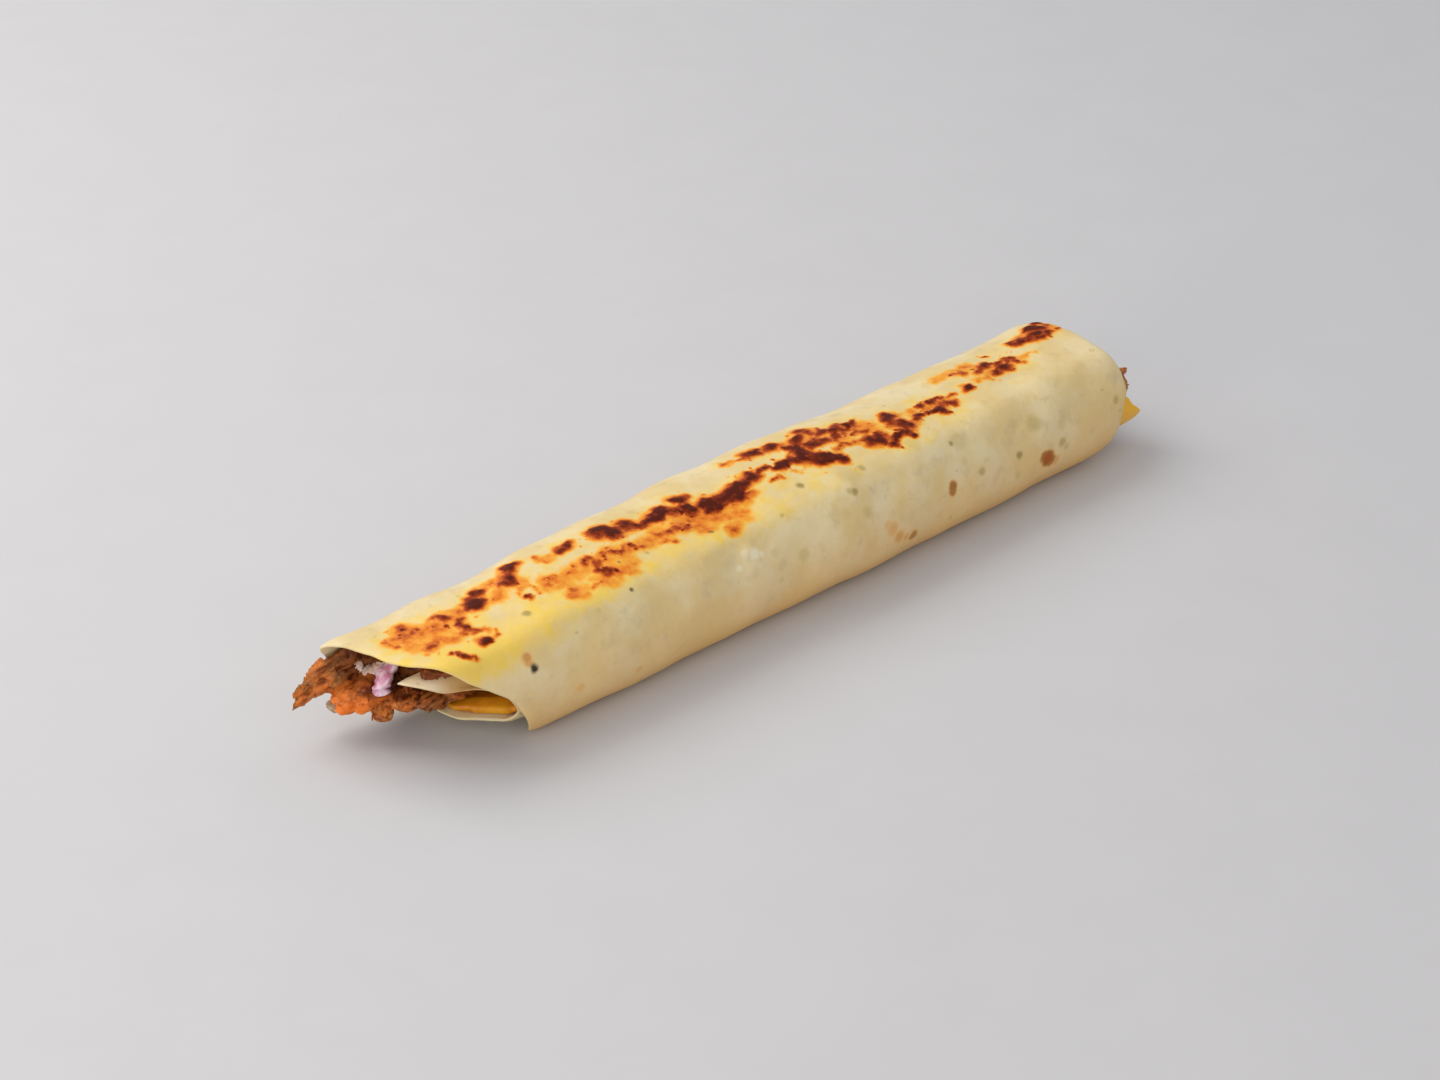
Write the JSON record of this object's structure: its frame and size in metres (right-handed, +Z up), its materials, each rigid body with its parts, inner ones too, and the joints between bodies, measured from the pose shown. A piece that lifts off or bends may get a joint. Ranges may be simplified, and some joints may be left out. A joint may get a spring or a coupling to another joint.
{
  "type": "shawarma wrap",
  "caption": "Long griddled flatbread wrap lying on its flat side, open at both ends on pulled chicken and a melted cheese layer.",
  "frame": {"origin": "middle of the whole wrap's box, at its flat underside", "axes": "+X along the roll towards the tight end, -X towards the loose, drooping end with the hanging chicken; +Z up to the griddled top; -Y the smooth front"},
  "size_m": [0.3278, 0.0578, 0.04],
  "materials": {
    "griddled_bread": "soft matte flatbread, cream with griddled brown and near black spots and a thin film of butter",
    "melted_cheese": "smooth warm yellow-orange melted cheese",
    "pulled_chicken": "torn fibrous cooked chicken in a thin red-brown sauce",
    "red_onion": "wet translucent red onion, pale violet",
    "pickle": "wet pale pickle, tinted tan by the sauce",
    "garlic_sauce": "thin creamy white garlic sauce, a little tinted by the meat"
  },
  "bodies": {
    "root": {"tortilla": "griddled_bread", "cheese": "melted_cheese", "chicken": "pulled_chicken", "onion": "red_onion", "pickle": "pickle"}
  },
  "joints": []
}
